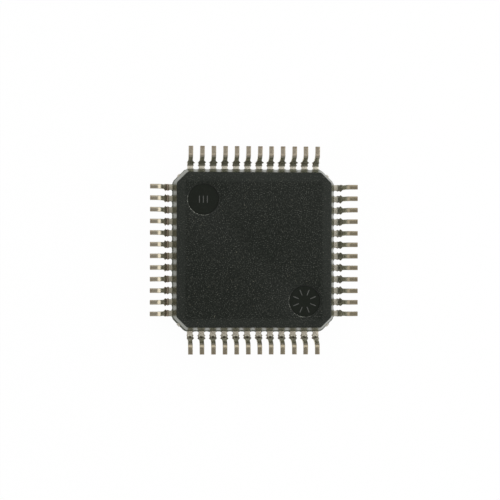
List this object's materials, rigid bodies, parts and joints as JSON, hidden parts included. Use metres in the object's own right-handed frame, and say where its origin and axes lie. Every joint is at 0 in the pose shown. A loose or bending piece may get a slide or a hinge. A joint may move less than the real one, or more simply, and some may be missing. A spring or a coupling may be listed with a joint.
{
  "type": "quad flat pack chip",
  "caption": "Square black moulded chip package lying on its marking face, gull-wing solder leads on every side, with its die pad, die and bond wires inside.",
  "frame": {"origin": "centre of the marking face, which the package lies on", "axes": "+Z out of the underside, so the feet of the leads are at the top; seen from +Z, pin 1 is the lead nearest +Y on the +X side and the pins count clockwise"},
  "size_m": [0.009, 0.009, 0.0015],
  "materials": {
    "mould_compound": "dark charcoal epoxy moulding compound, finely pitted on the flat faces and smoother on the side walls and in the ejector marks",
    "tinned_leads": "matt tin plate with a warm cast, bare copper at the sheared toes and where the dam bar was cut away",
    "frame_copper": "bare rolled copper alloy sheet",
    "silver_adhesive": "cured silver-filled epoxy",
    "silicon": "polished silicon",
    "gold_wire": "drawn gold wire"
  },
  "bodies": {
    "root": {"moulded_body": "mould_compound", "die_pad": "frame_copper", "die_attach": "silver_adhesive", "die": "silicon", "bond_wires": "gold_wire", "lead_01": "tinned_leads", "lead_02": "tinned_leads", "lead_03": "tinned_leads", "lead_04": "tinned_leads", "lead_05": "tinned_leads", "lead_06": "tinned_leads", "lead_07": "tinned_leads", "lead_08": "tinned_leads", "lead_09": "tinned_leads", "lead_10": "tinned_leads", "lead_11": "tinned_leads", "lead_12": "tinned_leads", "lead_13": "tinned_leads", "lead_14": "tinned_leads", "lead_15": "tinned_leads", "lead_16": "tinned_leads", "lead_17": "tinned_leads", "lead_18": "tinned_leads", "lead_19": "tinned_leads", "lead_20": "tinned_leads", "lead_21": "tinned_leads", "lead_22": "tinned_leads", "lead_23": "tinned_leads", "lead_24": "tinned_leads", "lead_25": "tinned_leads", "lead_26": "tinned_leads", "lead_27": "tinned_leads", "lead_28": "tinned_leads", "lead_29": "tinned_leads", "lead_30": "tinned_leads", "lead_31": "tinned_leads", "lead_32": "tinned_leads", "lead_33": "tinned_leads", "lead_34": "tinned_leads", "lead_35": "tinned_leads", "lead_36": "tinned_leads", "lead_37": "tinned_leads", "lead_38": "tinned_leads", "lead_39": "tinned_leads", "lead_40": "tinned_leads", "lead_41": "tinned_leads", "lead_42": "tinned_leads", "lead_43": "tinned_leads", "lead_44": "tinned_leads", "lead_45": "tinned_leads", "lead_46": "tinned_leads", "lead_47": "tinned_leads", "lead_48": "tinned_leads"}
  },
  "joints": []
}
